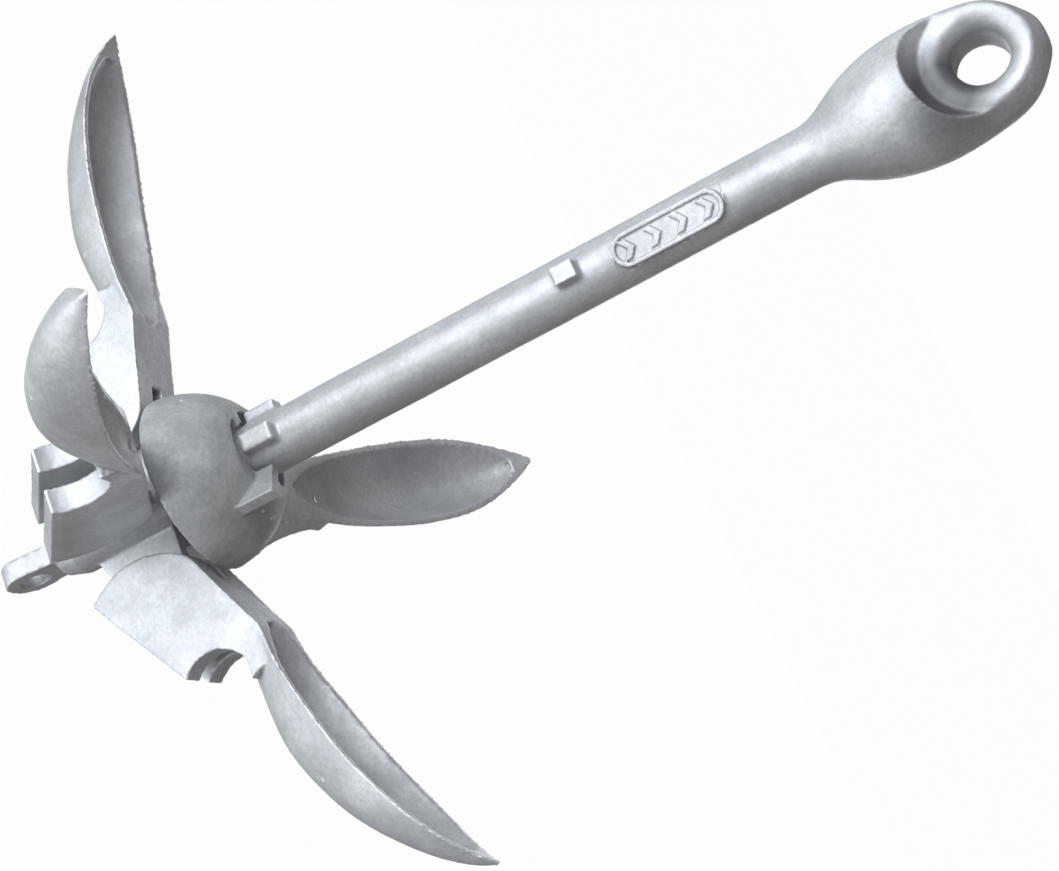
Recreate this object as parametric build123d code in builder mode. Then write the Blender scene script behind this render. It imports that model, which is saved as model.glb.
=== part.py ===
"""Folding grapnel anchor: a cast shank, a sliding lock collar and four hinged flukes.

The shank stands along +Z with its eye at the top. The origin is under the shank's axis,
at the lowest point of the small trip-line ring. The open flukes point along -Y, +X, +Y
and -X. Everything is in millimetres.
"""
from build123d import *
from math import cos, radians, sin
import os

# ---- shank ----
SHANK_R = 8.1            # round bar
NECK_Z = 252.0           # where the bar starts to swell into the head
# pear-shaped head between the neck and the top, as (radius, height)
HEAD_PROFILE = ((11.4, 261.8), (14.8, 269.2), (17.5, 285.5), (16.7, 295.5), (12.7, 308.6),
                (6.8, 314.2))
HEAD_TOP = 316.2
EYE_Z = 299.7            # centre of the line eye
EYE_R = 6.9
MOUTH_R = 4.6            # rounding of the eye's worn mouth
EYE_THICKNESS = 18.0     # greatest thickness of the ring round the eye
# half of the ring's outline, as (distance from the eye's axis, distance from mid-plane)
CREST = (EYE_R + MOUTH_R, EYE_THICKNESS / 2)
MOUTH = (EYE_R, CREST[1] - MOUTH_R)
MOUTH_MIDDLE = (CREST[0] - MOUTH_R * cos(radians(45)), CREST[1] - MOUTH_R * (1 - sin(radians(45))))
RING_SHOULDER = (13.1, 8.85)
RING_FOOT = (14.6, 8.4)
HOLLOW = (16.5, 10.4)
RIM = (17.6, 19.0)       # where the hollow runs out through the pear shape
CUT_TOP = 24.0

# ---- locking lugs on the shank ----
LUG_W = 5.4
LUG_R = 11.3             # distance of a lug's outer face from the axis
LUG_Z = 86.2             # underside of the lower lugs
LUG_L = 9.6
STOW_LUG_Z = 182.4       # underside of the two upper lugs
STOW_LUG_L = 6.3
STOW_LUG_R = 10.9

# ---- raised panel with plain chevrons ----
PANEL_Z = (198.4, 229.6)
PANEL_W = 9.0
PANEL_R = 8.9            # distance of the panel's face from the axis
PANEL_TURN = 14.0        # degrees round from the front lug
PANEL_BORDER = 1.1       # width of the raised border
PANEL_RELIEF = 0.5       # height of the border and the chevrons
CHEVRON_COUNT = 4
CHEVRON = ((-2, -2.6), (0, -2.6), (2, 0), (0, 2.6), (-2, 2.6), (0, 0))
BURY = 2.0               # how far a raised feature starts below the surface it stands on

# ---- crown: four webs that carry the hinge pins ----
WEB_T = 4.0
WEB_END_R = 8.2          # round end of a web about its hinge
WEB_FOOT_Z = 30.0        # where a web's lower edge leaves the core
CORE_BOTTOM = 19.0
CORE_TAPER = (2.0, 6.0)  # narrowing of the core's lower end, and its height
RING_R = 8.3
RING_HOLE_R = 4.2
RING_T = 6.0

# ---- hinge ----
HINGE_R = 26.0           # distance of a hinge from the axis
HINGE_Z = 47.0
PIN_R = 3.0
PIN_CLEARANCE = 0.06
PIN_INSET = 0.05         # pin end below the fluke's cheek

# ---- flukes, seen from the side: s runs from hinge to tip, o toward the shank ----
FORK_HALF_W = 9.7
SLOT_HALF_W = WEB_T / 2 + 0.4
FLUKE_RISE = 31.6        # degrees from level to the line from hinge to tip, when open
TIP_S = 118.8
BRIDGE_O = 2.3           # the root is solid across above this offset
BRIDGE_S = (9.5, 40.0)   # the solid bridge's two ends along the fluke
SLOT_TOP = (22.0, 75.4)  # the slot's slanted inner end, past the root's top
SLOT_OUT_R = 60.0
# station along the fluke: (s, rim offset, keel offset, half width)
BLADE = (
    (24.0, 12.2, 1.0, 9.7),
    (35.0, 9.9, -2.0, 10.4),
    (45.0, 6.7, -7.4, 12.2),
    (55.0, 4.2, -11.8, 13.5),
    (66.0, 1.8, -14.0, 14.4),
    (77.0, 0.0, -14.6, 14.6),
    (88.0, -1.2, -13.4, 13.9),
    (98.0, -1.8, -11.2, 11.9),
    (107.0, -1.7, -8.2, 8.4),
    (114.0, -0.9, -4.6, 4.4),
    (TIP_S, 0.3, -0.9, 0.9),
)
# station along the dish: (s, half width, floor offset)
DISH = (
    (29.0, 2.0, 10.2),
    (35.0, 6.0, 6.3),
    (45.0, 9.6, -2.8),
    (55.0, 11.3, -7.6),
    (66.0, 12.2, -9.8),
    (77.0, 12.4, -10.4),
    (88.0, 11.7, -9.4),
    (98.0, 9.7, -7.4),
    (106.0, 6.4, -4.8),
    (111.5, 2.5, -2.4),
)
DISH_RISE = 4.0          # the dish cutter's height above the rim
# the root's cheek, as (distance from the axis, height) with the fluke open
HUB_TOP = (23.4, 61.9)
HUB_BOTTOM = (20.8, 27.9)
HUB_BACK = ((15.5, 38.0), (14.6, 45.0), (16.4, 53.5), (20.0, 59.6))
HEEL = (51.8, 48.2)
THROAT_MIDDLE = (47.6, 58.6)
THROAT_END = (53.6, 66.6)
ROOT_TOP = ((38.0, 69.0), (46.2, 73.4), (55.5, 75.2), (59.0, 66.5))
HEEL_BEVEL = (3.0, 0.6)  # up the cheek, and in from it, along the root's underside
BOWL_FULLNESS = 0.36     # 0 makes the blade's section a V, 1 a deep U

# ---- how each fluke sits when the collar holds it open: azimuth and slack in degrees ----
FLUKES = {
    "fluke_front": (-90.0, 3.6),
    "fluke_right": (0.0, 0.0),
    "fluke_back": (90.0, 8.5),
    "fluke_left": (180.0, -11.5),
}

# ---- collar ----
DOME_R = 25.8
DOME_Z = 64.0            # centre of the dome's sphere
MOUTH_Z = 65.2
RIM_Z = 85.6
COLLAR_BORE_R = 9.2
COLLAR_WALL = 4.4
ROOF_DROP = 2.5          # extra thickness of the roof around the bore
KEYWAY_R = 12.2
KEYWAY_FROM, KEYWAY_TO = -50.0, 20.0   # degrees each side of a lug
RIB_TURN = 57.0          # degrees round from the front lug
RIB_T = 3.8
RIB_R = (COLLAR_BORE_R + 0.6, 20.6)
RIB_FOOT = 77.0          # buried in the dome's wall
RIB_ROOT = 6.0
RIB_TOP = 91.3

FRONT = -90.0            # azimuth of the front lug
QUARTERS = [FRONT + 90 * i for i in range(4)]
LOCK_LUGS = (FRONT, FRONT - 90, FRONT + 180)
STOW_LUGS = (FRONT, FRONT + 180)


def radial_plane(azimuth, shift=0.0):
    """Upright plane through the axis: local x points outward, local y up."""
    a = radians(azimuth)
    outward = Vector(cos(a), sin(a), 0)
    side = Vector(sin(a), -cos(a), 0)
    return Plane(origin=side * shift, x_dir=outward, z_dir=side)


def fluke_point(s, o):
    """Side-view point (distance from the axis, height) of an open fluke without slack."""
    a = radians(FLUKE_RISE)
    return (HINGE_R + s * cos(a) - o * sin(a), HINGE_Z + s * sin(a) + o * cos(a))


def station_plane(s):
    """Plane across an open fluke at s, with local x sideways and local y along o."""
    r, z = fluke_point(s, 0)
    along = (cos(radians(FLUKE_RISE)), 0, sin(radians(FLUKE_RISE)))
    return Plane(origin=(r, 0, z), x_dir=(0, 1, 0), z_dir=along)


def bowl_curve(half_width, top, bottom):
    """U-shaped Bezier curve from rim to rim, whose middle reaches bottom."""
    pull = top - (top - bottom) / 0.75
    inset = BOWL_FULLNESS * half_width
    return Bezier((half_width, top), (inset, pull), (-inset, pull), (-half_width, top))


def rim_offset(s):
    """Offset of the blade's rim at s, between the blade's stations."""
    for (s0, rim0, *_), (s1, rim1, *_) in zip(BLADE, BLADE[1:]):
        if s <= s1:
            return rim0 + (rim1 - rim0) * (s - s0) / (s1 - s0)
    return BLADE[-1][1]


def sphere_r(sphere_radius, z):
    """Distance from the axis to one of the dome's spherical skins at height z."""
    return (sphere_radius**2 - (z - DOME_Z) ** 2) ** 0.5


# ============================== shank ==============================
with BuildPart() as shank:
    # bar and pear-shaped head
    with BuildSketch(radial_plane(0)):
        with BuildLine():
            Polyline((0, CORE_BOTTOM), (SHANK_R - CORE_TAPER[0], CORE_BOTTOM),
                     (SHANK_R, CORE_BOTTOM + CORE_TAPER[1]), (SHANK_R, NECK_Z))
            Spline((SHANK_R, NECK_Z), *HEAD_PROFILE, (0, HEAD_TOP), tangents=((0, 1), (-1, 0)))
            Line((0, HEAD_TOP), (0, CORE_BOTTOM))
        make_face()
    revolve(axis=Axis.Z)
    # the ring with its eye: one turned cut, hollowed towards the pear shape
    with BuildSketch(Plane.XY.offset(EYE_Z)):
        with BuildLine():
            for side in (-1, 1):
                Line((EYE_R, 0), (EYE_R, side * MOUTH[1]))
                ThreePointArc(*[(r, side * y) for r, y in (MOUTH, MOUTH_MIDDLE, CREST)])
                ThreePointArc(*[(r, side * y) for r, y in (CREST, RING_SHOULDER, RING_FOOT)])
                ThreePointArc(*[(r, side * y) for r, y in (RING_FOOT, HOLLOW, RIM)])
                Polyline(*[(r, side * y) for r, y in (RIM, (RIM[0], CUT_TOP), (0, CUT_TOP))])
            Line((0, -CUT_TOP), (0, CUT_TOP))
        make_face()
    revolve(axis=Axis((0, 0, EYE_Z), (0, 1, 0)), mode=Mode.SUBTRACT)

    # locking lugs: three low down, two higher up for the folded anchor
    for azimuth in LOCK_LUGS:
        with BuildSketch(radial_plane(azimuth)):
            with Locations((LUG_R / 2, LUG_Z + LUG_L / 2)):
                Rectangle(LUG_R, LUG_L)
        extrude(amount=LUG_W / 2, both=True)
    for azimuth in STOW_LUGS:
        with BuildSketch(radial_plane(azimuth)):
            with Locations((STOW_LUG_R / 2, STOW_LUG_Z + STOW_LUG_L / 2)):
                Rectangle(STOW_LUG_R, STOW_LUG_L)
        extrude(amount=LUG_W / 2, both=True)

    # raised panel with chevrons
    panel_plane = Plane(
        origin=(0, 0, sum(PANEL_Z) / 2),
        x_dir=(0, 0, 1),
        z_dir=(cos(radians(FRONT + PANEL_TURN)), sin(radians(FRONT + PANEL_TURN)), 0))
    panel_length = PANEL_Z[1] - PANEL_Z[0]
    with BuildSketch(panel_plane.offset(PANEL_R - BURY)):
        SlotOverall(panel_length, PANEL_W)
    extrude(amount=BURY)
    with BuildSketch(panel_plane.offset(PANEL_R)):
        SlotOverall(panel_length, PANEL_W)
        SlotOverall(panel_length - 2 * PANEL_BORDER, PANEL_W - 2 * PANEL_BORDER,
                    mode=Mode.SUBTRACT)
        chevron_pitch = (panel_length - PANEL_W) / (CHEVRON_COUNT - 1)
        for i in range(CHEVRON_COUNT):
            x = (i - (CHEVRON_COUNT - 1) / 2) * chevron_pitch
            with BuildLine():
                Polyline(*[(x + dx, y) for dx, y in CHEVRON], close=True)
            make_face()
    extrude(amount=PANEL_RELIEF)

    # crown webs, each ending round about its hinge
    for azimuth in QUARTERS:
        with BuildSketch(radial_plane(azimuth)):
            with Locations((HINGE_R, HINGE_Z)):
                Circle(WEB_END_R)
            with BuildLine():
                Polyline((0, WEB_FOOT_Z), (SHANK_R, WEB_FOOT_Z), (HINGE_R, HINGE_Z - WEB_END_R),
                         (HINGE_R, HINGE_Z + WEB_END_R), (0, HINGE_Z + WEB_END_R), close=True)
            make_face()
        extrude(amount=WEB_T / 2, both=True)
        with BuildSketch(radial_plane(azimuth)):
            with Locations((HINGE_R, HINGE_Z)):
                Circle(PIN_R)
        extrude(amount=WEB_T, both=True, mode=Mode.SUBTRACT)

    # trip-line ring under the crown
    with BuildSketch(Plane.YZ):
        with Locations((0, RING_R)):
            Circle(RING_R)
        with BuildLine():
            Polyline((-RING_R, RING_R), (RING_R, RING_R),
                     (SHANK_R - CORE_TAPER[0], CORE_BOTTOM + BURY),
                     (CORE_TAPER[0] - SHANK_R, CORE_BOTTOM + BURY), close=True)
        make_face()
    extrude(amount=RING_T / 2, both=True)
    with BuildSketch(Plane.YZ):
        with Locations((0, RING_R)):
            Circle(RING_HOLE_R)
    extrude(amount=RING_T, both=True, mode=Mode.SUBTRACT)

# ============================== collar ==============================
inner_r = DOME_R - COLLAR_WALL
roof_z = DOME_Z + (inner_r**2 - COLLAR_BORE_R**2) ** 0.5 - ROOF_DROP
slant = radians(45)

with BuildPart() as collar:
    # dome: a thick cup of two spherical skins, cut flat at the rim and at the mouth
    with BuildSketch(radial_plane(0)):
        with BuildLine():
            mouth_out = (sphere_r(DOME_R, MOUTH_Z), MOUTH_Z)
            mouth_in = (sphere_r(inner_r, MOUTH_Z), MOUTH_Z)
            rim_out = (sphere_r(DOME_R, RIM_Z), RIM_Z)
            roof_out = (sphere_r(inner_r, roof_z), roof_z)
            Line(mouth_in, mouth_out)
            ThreePointArc(mouth_out,
                          (DOME_R * cos(slant), DOME_Z + DOME_R * sin(slant)), rim_out)
            Polyline(rim_out, (COLLAR_BORE_R, RIM_Z), (COLLAR_BORE_R, roof_z), roof_out)
            ThreePointArc(roof_out,
                          (inner_r * cos(slant / 2), DOME_Z + inner_r * sin(slant / 2)), mouth_in)
        make_face()
    revolve(axis=Axis.Z)
    # finger rib to turn the collar by
    with BuildSketch(radial_plane(FRONT + RIB_TURN)):
        with BuildLine():
            Polyline((RIB_R[0], RIM_Z - BURY), (RIB_R[0], RIB_TOP), (RIB_R[1], RIB_TOP),
                     (RIB_R[1], RIB_FOOT), (RIB_R[1] - RIB_ROOT, RIB_FOOT), close=True)
        make_face()
    extrude(amount=RIB_T / 2, both=True)
    # keyways that let the lugs through
    for azimuth in LOCK_LUGS:
        with BuildSketch(Plane.XY.offset(MOUTH_Z)):
            with BuildLine():
                first, last = radians(azimuth + KEYWAY_FROM), radians(azimuth + KEYWAY_TO)
                middle = (first + last) / 2
                start = (KEYWAY_R * cos(first), KEYWAY_R * sin(first))
                end = (KEYWAY_R * cos(last), KEYWAY_R * sin(last))
                Line((0, 0), start)
                ThreePointArc(start, (KEYWAY_R * cos(middle), KEYWAY_R * sin(middle)), end)
                Line(end, (0, 0))
            make_face()
        extrude(amount=RIM_Z - MOUTH_Z + 1, mode=Mode.SUBTRACT)

# ============================== fluke ==============================
with BuildPart() as dish_cutter:
    for s, half_width, floor in DISH:
        top = rim_offset(s)
        with BuildSketch(station_plane(s)):
            with BuildLine():
                bowl_curve(half_width, top, floor)
                Polyline((-half_width, top), (-half_width, top + DISH_RISE),
                         (half_width, top + DISH_RISE), (half_width, top))
            make_face()
    loft()

with BuildPart() as fluke:
    # leaf-shaped blade
    for s, rim, keel, half_width in BLADE:
        with BuildSketch(station_plane(s)):
            with BuildLine():
                bowl_curve(half_width, rim, keel)
                Line((-half_width, rim), (half_width, rim))
            make_face()
    loft()
    # root: cheek outline with the heel and the throat behind it
    with BuildSketch(Plane.XZ):
        with BuildLine():
            Spline(HUB_BOTTOM, *HUB_BACK, HUB_TOP, tangents=((-0.5, 1), (1, 0.5)))
            Polyline(HUB_TOP, *ROOT_TOP, THROAT_END)
            ThreePointArc(THROAT_END, THROAT_MIDDLE, HEEL)
            Line(HEEL, HUB_BOTTOM)
        make_face()
    extrude(amount=FORK_HALF_W, both=True)
    for end in (0, -1):
        cheek = fluke.faces().filter_by(Axis.Y).sort_by(Axis.Y)[end]
        underside = cheek.edges().filter_by(GeomType.LINE).sort_by(Axis.Z)[0]
        chamfer(underside, *HEEL_BEVEL, reference=cheek)
    add(dish_cutter.part, mode=Mode.SUBTRACT)
    # slot between the fork's tines, open to the web at every angle of the fluke
    with BuildSketch(Plane.XZ):
        with BuildLine():
            Polyline((0, 0), (SLOT_OUT_R, 0), fluke_point(BRIDGE_S[1], BRIDGE_O),
                     fluke_point(BRIDGE_S[0], BRIDGE_O), SLOT_TOP, (0, SLOT_TOP[1]), close=True)
        make_face()
    extrude(amount=SLOT_HALF_W, both=True, mode=Mode.SUBTRACT)
    # pin bore
    with BuildSketch(Plane.XZ):
        with Locations((HINGE_R, HINGE_Z)):
            Circle(PIN_R + PIN_CLEARANCE)
    extrude(amount=2 * FORK_HALF_W, both=True, mode=Mode.SUBTRACT)

# ============================== hinge pin ==============================
with BuildPart() as pin:
    with BuildSketch(Plane.XZ):
        with Locations((HINGE_R, HINGE_Z)):
            Circle(PIN_R)
    extrude(amount=FORK_HALF_W - PIN_INSET, both=True)

# ============================== placed pieces ==============================
os.makedirs("parts", exist_ok=True)
shank.part.label = "shank"
export_step(shank.part, "parts/shank.step")
collar.part.label = "collar"
export_step(collar.part, "parts/collar.step")

for name, (azimuth, slack) in FLUKES.items():
    hinge_axis = Axis((HINGE_R, 0, HINGE_Z), (0, -1, 0))
    with BuildPart() as placed_fluke:
        add(fluke.part.rotate(hinge_axis, slack).rotate(Axis.Z, azimuth))
    placed_fluke.part.label = name
    export_step(placed_fluke.part, f"parts/{name}.step")
    with BuildPart() as placed_pin:
        add(pin.part.rotate(Axis.Z, azimuth))
    placed_pin.part.label = name.replace("fluke", "hinge_pin")
    export_step(placed_pin.part, f"parts/{placed_pin.part.label}.step")
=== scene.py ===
"""Folding grapnel anchor: soft-edged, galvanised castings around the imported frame.

Everything is in metres, in the frame's own axes: +Z runs up the shank to the line eye.
"""

import math

import bmesh
import bpy
from mathutils import Matrix, Vector, kdtree, noise


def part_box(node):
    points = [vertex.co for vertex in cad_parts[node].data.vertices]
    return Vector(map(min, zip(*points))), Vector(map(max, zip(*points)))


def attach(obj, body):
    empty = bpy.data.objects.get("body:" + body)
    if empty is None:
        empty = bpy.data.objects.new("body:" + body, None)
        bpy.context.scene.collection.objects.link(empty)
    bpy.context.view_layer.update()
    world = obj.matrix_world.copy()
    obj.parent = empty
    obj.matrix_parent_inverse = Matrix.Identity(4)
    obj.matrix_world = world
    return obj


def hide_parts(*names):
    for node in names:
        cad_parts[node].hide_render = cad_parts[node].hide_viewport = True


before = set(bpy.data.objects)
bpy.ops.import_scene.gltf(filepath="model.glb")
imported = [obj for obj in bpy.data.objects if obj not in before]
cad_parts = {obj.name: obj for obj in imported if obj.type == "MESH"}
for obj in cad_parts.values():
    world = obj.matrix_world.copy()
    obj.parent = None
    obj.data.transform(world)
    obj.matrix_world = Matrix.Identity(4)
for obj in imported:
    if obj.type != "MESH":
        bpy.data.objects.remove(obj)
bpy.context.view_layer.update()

MM = 0.001
FLUKES = ("fluke_front", "fluke_right", "fluke_back", "fluke_left")

# ---- the camera: where it stands, and which way its right and up sides point ----
CAMERA_PLACE = Vector((0.1785, -0.4441, 0.2797))
CAMERA_RIGHT = Vector((0.3631, 0.3560, 0.8610)).normalized()
CAMERA_UP = Vector((-0.8806, -0.1708, 0.4420)).normalized()
CAMERA_LENS = 63.87               # millimetres, on a sensor 36 mm wide
CAMERA_NEAR = 10 * MM             # it sees nothing nearer than this

# ---- the studio ----
FLOOR_REACH = 6.0                 # from the floor's middle to its sides
FLOOR_BASE = (0.01, 0.01, 0.01, 1)
FLOOR_GLOW = 0.975
BACKDROP_GLOW = 0.985
WHITE = (1, 1, 1, 1)
ROOM_GLOW = 0.245                 # the even light that comes from all round
ROOM_TINT = (1.0, 0.985, 0.965, 1)
LIGHT_TINT = (0.91, 0.955, 1.0)
LIGHT_AIM = Vector((0, 0, 0.13))  # about the anchor's middle
LIGHT_DISTANCE = 1.0

# ---- the zinc: how a noise or the edge finder fades in, how much of a shade it then adds,
# and that shade as a share of the base colour ----
NOISE_FADE = (0.35, 0.65)
SAND_AMOUNT, SAND_SHADE = 0.42, 0.72
# painted shade: the edge finder darkens hollows and creases as if shadow fell there
CREASE_SHADE_FADE, CREASE_SHADE_AMOUNT, CREASE_SHADE_TONE = (0.44, 0.493), 0.85, 0.45
# partly wear, partly painted highlight: the edge finder lightens sharp edges
EDGE_FADE, EDGE_AMOUNT, EDGE_HIGHLIGHT_SHADE = (0.522, 0.575), 0.8, 1.4
# painted shade: a dark spot beside the eye, standing in for the shadow in its recess
SPOT_SHADE_AMOUNT, SPOT_SHADE_TONE = 0.92, 0.2
SPOT_SHADE_CORE = 0.45                  # the share of its reach over which the painted shade is evenly dark
SHEEN_PATCH = 0.4                 # the size of the patches of sheen, as a share of the blotches
SHEEN_FADE = (0.3, 0.7)
SHEEN_DOWN, SHEEN_UP = 0.07, 0.09 # how far they take the roughness down and up
# the bumps, each with its size as a multiple of the grain
FINE_SIZE, FINE_STRENGTH, FINE_HEIGHT = 1.6, 0.4, 0.13 * MM
PEEL_SIZE, PEEL_STRENGTH, PEEL_HEIGHT = 9, 0.3, 0.3 * MM
# painted shade beside the eye, where its recess lies in shadow: a place, mirrored in Y, and its
# reach
EYE_PAINTED_SHADE = ((0.0045, 0.0085, 0.2885), 0.0155)

# ---- the castings' skin ----
WELD = 1e-6                       # points nearer than this become one
SHARP_ANGLE = math.radians(40)
EDGE_STEP = 0.6 * MM              # about the distance between the points that mark an edge
# the sizes of the slow waves, of the orange peel and of the nicks along edges
WAVE_LENGTH, PEEL_LENGTH, NICK_LENGTH = 14 * MM, 2.2 * MM, 1.1 * MM
NICK_REACH = 1.2 * MM             # how far from a sharp edge its nicks fade out
SEED_STEPS = (3.7, 1.9, 5.3)      # how far one seed's relief lies from the next one's
SOFTENING = 0.5                   # the strength of one smoothing pass

# ---- the raised weight panel on the shank, and the hinge pins ----
PANEL_AZIMUTH = -76.0             # degrees, where the panel faces
PANEL_W = 9.0 * MM
PANEL_Z = (198.4 * MM, 229.6 * MM)
PANEL_MARGIN = 0.6 * MM           # how much of the bar the finer piece takes in round the panel
PANEL_DEPTHS = (6.2 * MM, 9.6 * MM)   # from the shank's axis to the finer piece's back and front
SUNK_R = 7.3 * MM                 # how far in the shank's own skin lies under the panel
PIN_DRAW = 0.9                    # the share of its length that a pin's visual keeps


def added(name, data):
    """A new object in the scene that shows the given data."""
    thing = bpy.data.objects.new(name, data)
    bpy.context.scene.collection.objects.link(thing)
    return thing


# ============================== camera, floor and light ==============================
def make_camera():
    """The camera at the photograph's viewing angle."""
    data = bpy.data.cameras.new("camera")
    data.lens = CAMERA_LENS
    data.clip_start = CAMERA_NEAR
    camera = added("camera", data)
    back = CAMERA_RIGHT.cross(CAMERA_UP).normalized()
    up = back.cross(CAMERA_RIGHT)
    turn = Matrix((CAMERA_RIGHT, up, back)).transposed().to_4x4()
    camera.matrix_world = Matrix.Translation(CAMERA_PLACE) @ turn
    bpy.context.scene.camera = camera


def make_floor():
    """A wide pale floor under the anchor, bright by itself like a light table."""
    bm = bmesh.new()
    bmesh.ops.create_grid(bm, x_segments=2, y_segments=2, size=FLOOR_REACH)
    mesh = bpy.data.meshes.new("floor")
    bm.to_mesh(mesh)
    bm.free()
    paper = bpy.data.materials.new("paper")
    paper.use_nodes = True
    shader = paper.node_tree.nodes["Principled BSDF"]
    shader.inputs["Base Color"].default_value = FLOOR_BASE
    shader.inputs["Roughness"].default_value = 1.0
    shader.inputs["Specular IOR Level"].default_value = 0.0
    shader.inputs["Emission Color"].default_value = WHITE
    shader.inputs["Emission Strength"].default_value = FLOOR_GLOW
    mesh.materials.append(paper)
    floor = added("floor", mesh)
    floor.visible_diffuse = False
    floor.visible_glossy = False
    floor.visible_shadow = False


def make_world():
    """Even light all round, with a plain pale backdrop where the camera sees it."""
    world = bpy.data.worlds.new("studio")
    bpy.context.scene.world = world
    world.use_nodes = True
    nodes, links = world.node_tree.nodes, world.node_tree.links
    nodes.clear()
    room = nodes.new("ShaderNodeBackground")
    room.inputs["Color"].default_value = ROOM_TINT
    room.inputs["Strength"].default_value = ROOM_GLOW
    backdrop = nodes.new("ShaderNodeBackground")
    backdrop.inputs["Color"].default_value = WHITE
    backdrop.inputs["Strength"].default_value = BACKDROP_GLOW
    path = nodes.new("ShaderNodeLightPath")
    mix = nodes.new("ShaderNodeMixShader")
    output = nodes.new("ShaderNodeOutputWorld")
    links.new(path.outputs["Is Camera Ray"], mix.inputs["Fac"])
    links.new(room.outputs["Background"], mix.inputs[1])
    links.new(backdrop.outputs["Background"], mix.inputs[2])
    links.new(mix.outputs["Shader"], output.inputs["Surface"])


def make_softbox(name, azimuth, elevation, width, height, power):
    """An area light that faces the anchor's middle, placed by its direction in degrees."""
    a, e = math.radians(azimuth), math.radians(elevation)
    toward = Vector((math.cos(a) * math.cos(e), math.sin(a) * math.cos(e), math.sin(e)))
    data = bpy.data.lights.new(name, "AREA")
    data.shape = "RECTANGLE"
    data.size = width
    data.size_y = height
    data.energy = power
    data.color = LIGHT_TINT
    light = added(name, data)
    light.visible_camera = False
    light.location = LIGHT_AIM + toward * LIGHT_DISTANCE
    light.rotation_euler = toward.to_track_quat("Z", "Y").to_euler()


# ============================== materials ==============================
class Shading:
    """Short ways to add nodes to one material. Each gives back the output to link on."""

    def __init__(self, material):
        material.use_nodes = True
        self.nodes = material.node_tree.nodes
        self.links = material.node_tree.links
        self.place = self.nodes.new("ShaderNodeTexCoord").outputs["Object"]

    def cloud(self, size, detail, rough):
        """A noise whose patches are about the given size."""
        node = self.nodes.new("ShaderNodeTexNoise")
        node.inputs["Scale"].default_value = 1 / size
        node.inputs["Detail"].default_value = detail
        node.inputs["Roughness"].default_value = rough
        self.links.new(self.place, node.inputs["Vector"])
        return node.outputs["Fac"]

    def ramp(self, value, fade, start, end):
        """Goes from start to end while the value goes from fade's first number to its last."""
        node = self.nodes.new("ShaderNodeMapRange")
        node.inputs["From Min"].default_value = fade[0]
        node.inputs["From Max"].default_value = fade[1]
        node.inputs["To Min"].default_value = start
        node.inputs["To Max"].default_value = end
        self.links.new(value, node.inputs["Value"])
        return node.outputs["Result"]

    def mix(self, factor, first, second):
        """The first colour where the factor is 0, the second where it is 1."""
        node = self.nodes.new("ShaderNodeMix")
        node.data_type = "RGBA"
        for name, value in (("Factor", factor), ("A", first), ("B", second)):
            socket = [s for s in node.inputs if s.name == name and s.enabled][0]
            if isinstance(value, bpy.types.NodeSocket):
                self.links.new(value, socket)
            else:
                socket.default_value = value
        return [s for s in node.outputs if s.enabled][0]

    def bump(self, height, strength, distance, under=None):
        """A bumped normal, on top of another one where under is given."""
        node = self.nodes.new("ShaderNodeBump")
        node.inputs["Strength"].default_value = strength
        node.inputs["Distance"].default_value = distance
        self.links.new(height, node.inputs["Height"])
        if under is not None:
            self.links.new(under, node.inputs["Normal"])
        return node.outputs["Normal"]

    def near_spot(self, spot, reach):
        """Strong at the spot and at its mirror image across the XZ plane, 0 beyond its reach."""
        split = self.nodes.new("ShaderNodeSeparateXYZ")
        self.links.new(self.place, split.inputs["Vector"])
        mirrored = self.nodes.new("ShaderNodeMath")
        mirrored.operation = "ABSOLUTE"
        self.links.new(split.outputs["Y"], mirrored.inputs[0])
        joined = self.nodes.new("ShaderNodeCombineXYZ")
        self.links.new(split.outputs["X"], joined.inputs["X"])
        self.links.new(mirrored.outputs["Value"], joined.inputs["Y"])
        self.links.new(split.outputs["Z"], joined.inputs["Z"])
        far = self.nodes.new("ShaderNodeVectorMath")
        far.operation = "DISTANCE"
        self.links.new(joined.outputs["Vector"], far.inputs[0])
        far.inputs[1].default_value = spot
        return self.ramp(far.outputs["Value"], (SPOT_SHADE_CORE * reach, reach), SPOT_SHADE_AMOUNT, 0.0)


def shade(colour, share):
    """The colour made darker or lighter, as a node's socket takes it."""
    return (*[min(1, c * share) for c in colour], 1)


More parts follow.
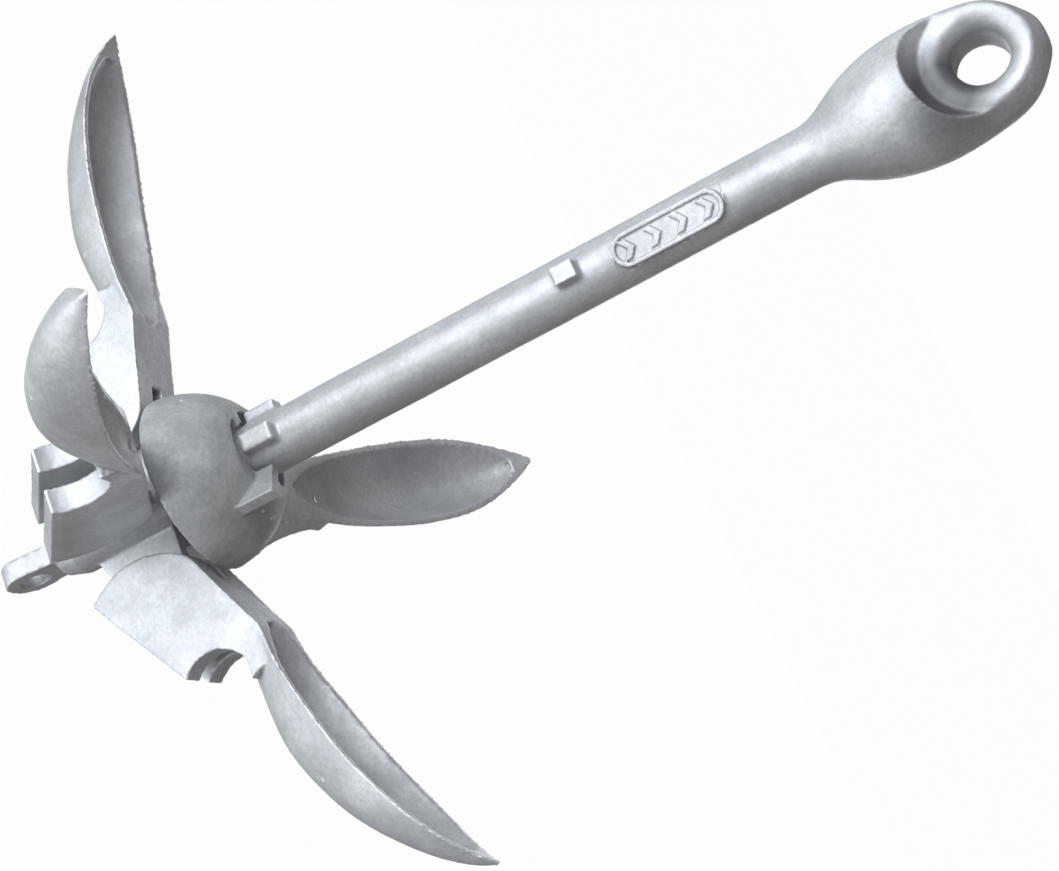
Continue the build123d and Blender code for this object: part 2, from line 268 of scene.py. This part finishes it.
def galvanised(name, light, dark, metallic, roughness, blotch, grain, shaded_spot=None):
    """Hot-dip zinc: blotchy grey, a fine sandy grain, lighter edges that are partly wear and
    partly painted highlight, and painted shade in the hollows.

    blotch and grain are the sizes, in metres, of the cloudy patches and of the sand.
    The last argument is a place and its reach, round which shade is painted in darker.
    """
    material = bpy.data.materials.new(name)
    zinc = Shading(material)
    shader = zinc.nodes["Principled BSDF"]
    shader.inputs["Metallic"].default_value = metallic

    patches = zinc.ramp(zinc.cloud(blotch, detail=4, rough=0.55), NOISE_FADE, 0, 1)
    colour = zinc.mix(patches, shade(dark, 1), shade(light, 1))
    sand = zinc.ramp(zinc.cloud(grain, detail=3, rough=0.7), NOISE_FADE, 0, SAND_AMOUNT)
    colour = zinc.mix(sand, colour, shade(dark, SAND_SHADE))
    bend = zinc.nodes.new("ShaderNodeNewGeometry").outputs["Pointiness"]
    # painted shade: hollows and creases darkened as if in shadow
    painted_crease_shade = zinc.ramp(bend, CREASE_SHADE_FADE, CREASE_SHADE_AMOUNT, 0)
    colour = zinc.mix(painted_crease_shade, colour, shade(dark, CREASE_SHADE_TONE))
    # edges lightened: partly wear, partly a painted highlight
    edge = zinc.ramp(bend, EDGE_FADE, 0, EDGE_AMOUNT)
    colour = zinc.mix(edge, colour, shade(light, EDGE_HIGHLIGHT_SHADE))
    # painted shade: the eye's recess darkened as if in shadow
    if shaded_spot:
        colour = zinc.mix(zinc.near_spot(*shaded_spot), colour, shade(dark, SPOT_SHADE_TONE))
    zinc.links.new(colour, shader.inputs["Base Color"])

    sheen = zinc.ramp(zinc.cloud(blotch * SHEEN_PATCH, detail=3, rough=0.6), SHEEN_FADE,
                      roughness - SHEEN_DOWN, roughness + SHEEN_UP)
    zinc.links.new(sheen, shader.inputs["Roughness"])

    fine = zinc.bump(zinc.cloud(grain * FINE_SIZE, detail=4, rough=0.65),
                     FINE_STRENGTH, FINE_HEIGHT)
    peel = zinc.bump(zinc.cloud(grain * PEEL_SIZE, detail=2, rough=0.5),
                     PEEL_STRENGTH, PEEL_HEIGHT, under=fine)
    zinc.links.new(peel, shader.inputs["Normal"])
    return material


# ============================== castings ==============================
def cut_to(bm, low, high):
    """Cuts a closed mesh down to what lies inside a box, with flat caps."""
    for axis in range(3):
        for corner, way in ((low, -1), (high, 1)):
            outward = Vector([way if i == axis else 0 for i in range(3)])
            everything = bm.verts[:] + bm.edges[:] + bm.faces[:]
            cut = bmesh.ops.bisect_plane(bm, geom=everything, plane_co=corner,
                                         plane_no=outward, clear_outer=True)["geom_cut"]
            rim = [e for e in cut if isinstance(e, bmesh.types.BMEdge)]
            bmesh.ops.holes_fill(bm, edges=rim)


def sharp_points(bm):
    """Points along the mesh's sharp edges."""
    points = []
    for edge in bm.edges:
        if len(edge.link_faces) == 2 and edge.calc_face_angle(0) > SHARP_ANGLE:
            start, end = [v.co.copy() for v in edge.verts]
            steps = max(1, int((end - start).length / EDGE_STEP))
            points += [start.lerp(end, i / steps) for i in range(steps + 1)]
    return points


def welded_copy(name, nodes, region=None):
    """CAD nodes copied into one mesh, and the points along its sharp edges.

    region is a box, (low, high), that the copy is cut down to and closed again.
    """
    bm = bmesh.new()
    for node in nodes:
        bm.from_mesh(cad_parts[node].data)
    bmesh.ops.remove_doubles(bm, verts=bm.verts, dist=WELD)
    if region:
        cut_to(bm, *region)
    sharp = sharp_points(bm)
    mesh = bpy.data.meshes.new(name)
    bm.to_mesh(mesh)
    bm.free()
    return added(name, mesh), sharp


def remesh(piece, voxel, smoothing):
    """Gives the piece an even skin of small quads, whose sharp edges turn soft."""
    skin = piece.modifiers.new("skin", "REMESH")
    skin.mode = "VOXEL"
    skin.voxel_size = voxel
    skin.use_smooth_shade = True
    soften = piece.modifiers.new("soften", "SMOOTH")
    soften.factor = SOFTENING
    soften.iterations = smoothing
    graph = bpy.context.evaluated_depsgraph_get()
    mesh = bpy.data.meshes.new_from_object(piece.evaluated_get(graph))
    mesh.name = piece.name
    piece.modifiers.clear()
    piece.data = mesh


def roughen(piece, sharp, seed, wave, peel, flash):
    """Moves the skin in and out a little: slow waves, orange peel, and nicks along edges."""
    tree = kdtree.KDTree(len(sharp))
    for i, point in enumerate(sharp):
        tree.insert(point, i)
    tree.balance()
    shift = Vector([seed * step for step in SEED_STEPS])
    inward = 0.5 * (wave + peel)     # makes room for the relief inside the CAD shape
    normals = [n.vector.copy() for n in piece.data.vertex_normals]
    for vertex, normal in zip(piece.data.vertices, normals):
        place = vertex.co
        move = wave * noise.noise(place / WAVE_LENGTH + shift)
        move += peel * noise.noise(place / PEEL_LENGTH + shift)
        _, _, distance = tree.find(place)
        closeness = 1 - distance / NICK_REACH
        if closeness > 0:
            move += flash * closeness * noise.noise(place / NICK_LENGTH - shift)
        vertex.co = place + normal * (move - inward)


def cast(name, nodes, material, voxel, smoothing=2, region=None, **relief):
    """A soft-edged casting made from the CAD shape of one or more nodes.

    relief holds the seed, wave, peel and flash that roughen() takes. Without it the skin
    stays smooth.
    """
    piece, sharp = welded_copy(name, nodes, region)
    remesh(piece, voxel, smoothing)
    if relief:
        roughen(piece, sharp, **relief)
    piece.data.materials.clear()
    piece.data.materials.append(material)
    for polygon in piece.data.polygons:
        polygon.use_smooth = True
        polygon.material_index = 0
    return piece


def stand_for(piece, node, body):
    """Puts a casting in the place of a CAD node, on a body."""
    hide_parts(node)
    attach(piece, body)


# ============================== the weight panel and the pins ==============================
def panel_directions():
    """The way the panel faces, and the way across it."""
    turn = math.radians(PANEL_AZIMUTH)
    out = Vector((math.cos(turn), math.sin(turn), 0))
    return out, Vector((-out.y, out.x, 0))


def panel_box():
    """The box round the raised panel, closed well inside the bar."""
    out, across = panel_directions()
    half = PANEL_W / 2 + PANEL_MARGIN
    corners = [out * depth + across * side for depth in PANEL_DEPTHS for side in (-half, half)]
    xs, ys = [c.x for c in corners], [c.y for c in corners]
    low = Vector((min(xs), min(ys), PANEL_Z[0] - PANEL_MARGIN))
    high = Vector((max(xs), max(ys), PANEL_Z[1] + PANEL_MARGIN))
    return low, high


def sink_under_panel(piece):
    """Lowers the coarse skin under the finer one of the panel."""
    out, across = panel_directions()
    for vertex in piece.data.vertices:
        place = vertex.co
        level = Vector((place.x, place.y, 0))
        under = (abs(level.dot(across)) < PANEL_W / 2 and level.dot(out) > 0
                 and PANEL_Z[0] < place.z < PANEL_Z[1])
        if under and level.length > SUNK_R:
            level *= SUNK_R / level.length
            vertex.co = Vector((level.x, level.y, place.z))


def draw_in(pin, node):
    """Draws a pin's ends in under the zinc that covers them."""
    low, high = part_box(node)
    middle = (low + high) / 2
    span = high - low
    along = max(range(3), key=lambda axis: span[axis])
    for vertex in pin.data.vertices:
        vertex.co[along] = middle[along] + PIN_DRAW * (vertex.co[along] - middle[along])


# ============================== the anchor ==============================
zinc_cast = galvanised("zinc_cast", light=(0.66, 0.67, 0.69), dark=(0.50, 0.51, 0.53),
                       metallic=0.5, roughness=0.49, blotch=0.018, grain=0.0011,
                       shaded_spot=EYE_PAINTED_SHADE)
zinc_collar = galvanised("zinc_collar", light=(0.55, 0.56, 0.57), dark=(0.40, 0.41, 0.42),
                         metallic=0.45, roughness=0.56, blotch=0.011, grain=0.0011)

shank = cast("shank_casting", ["shank"], zinc_cast, voxel=0.6 * MM, smoothing=1,
             seed=1, wave=0.10 * MM, peel=0.05 * MM, flash=0.10 * MM)
sink_under_panel(shank)
stand_for(shank, "shank", "shank")
panel = cast("weight_panel", ["shank"], zinc_cast, voxel=0.22 * MM, region=panel_box(),
             seed=2, wave=0.02 * MM, peel=0.04 * MM, flash=0.06 * MM)
stand_for(panel, "shank", "shank")
collar = cast("collar_casting", ["collar"], zinc_collar, voxel=0.45 * MM,
              seed=2, wave=0.15 * MM, peel=0.06 * MM, flash=0.12 * MM)
stand_for(collar, "collar", "collar")
for seed, name in enumerate(FLUKES, start=3):
    pin_name = name.replace("fluke", "hinge_pin")
    # the zinc closes over the pin's ends, so the fluke's skin takes the pin in as well
    fluke = cast(f"{name}_casting", [name, pin_name], zinc_cast, voxel=0.5 * MM,
                 seed=seed, wave=0.16 * MM, peel=0.06 * MM, flash=0.22 * MM)
    stand_for(fluke, name, name)
    pin = cast(f"{pin_name}_casting", [pin_name], zinc_cast, voxel=0.3 * MM)
    draw_in(pin, pin_name)
    stand_for(pin, pin_name, "shank")

make_camera()
make_floor()
make_world()
make_softbox("key", azimuth=-110, elevation=6, width=1.0, height=0.9, power=11.0)
make_softbox("low", azimuth=-92, elevation=-46, width=1.1, height=1.0, power=8.0)
make_softbox("rear", azimuth=105, elevation=2, width=0.7, height=0.7, power=3.0)
make_softbox("side", azimuth=170, elevation=5, width=0.9, height=0.9, power=1.6)
bpy.context.scene.view_settings.view_transform = "Standard"
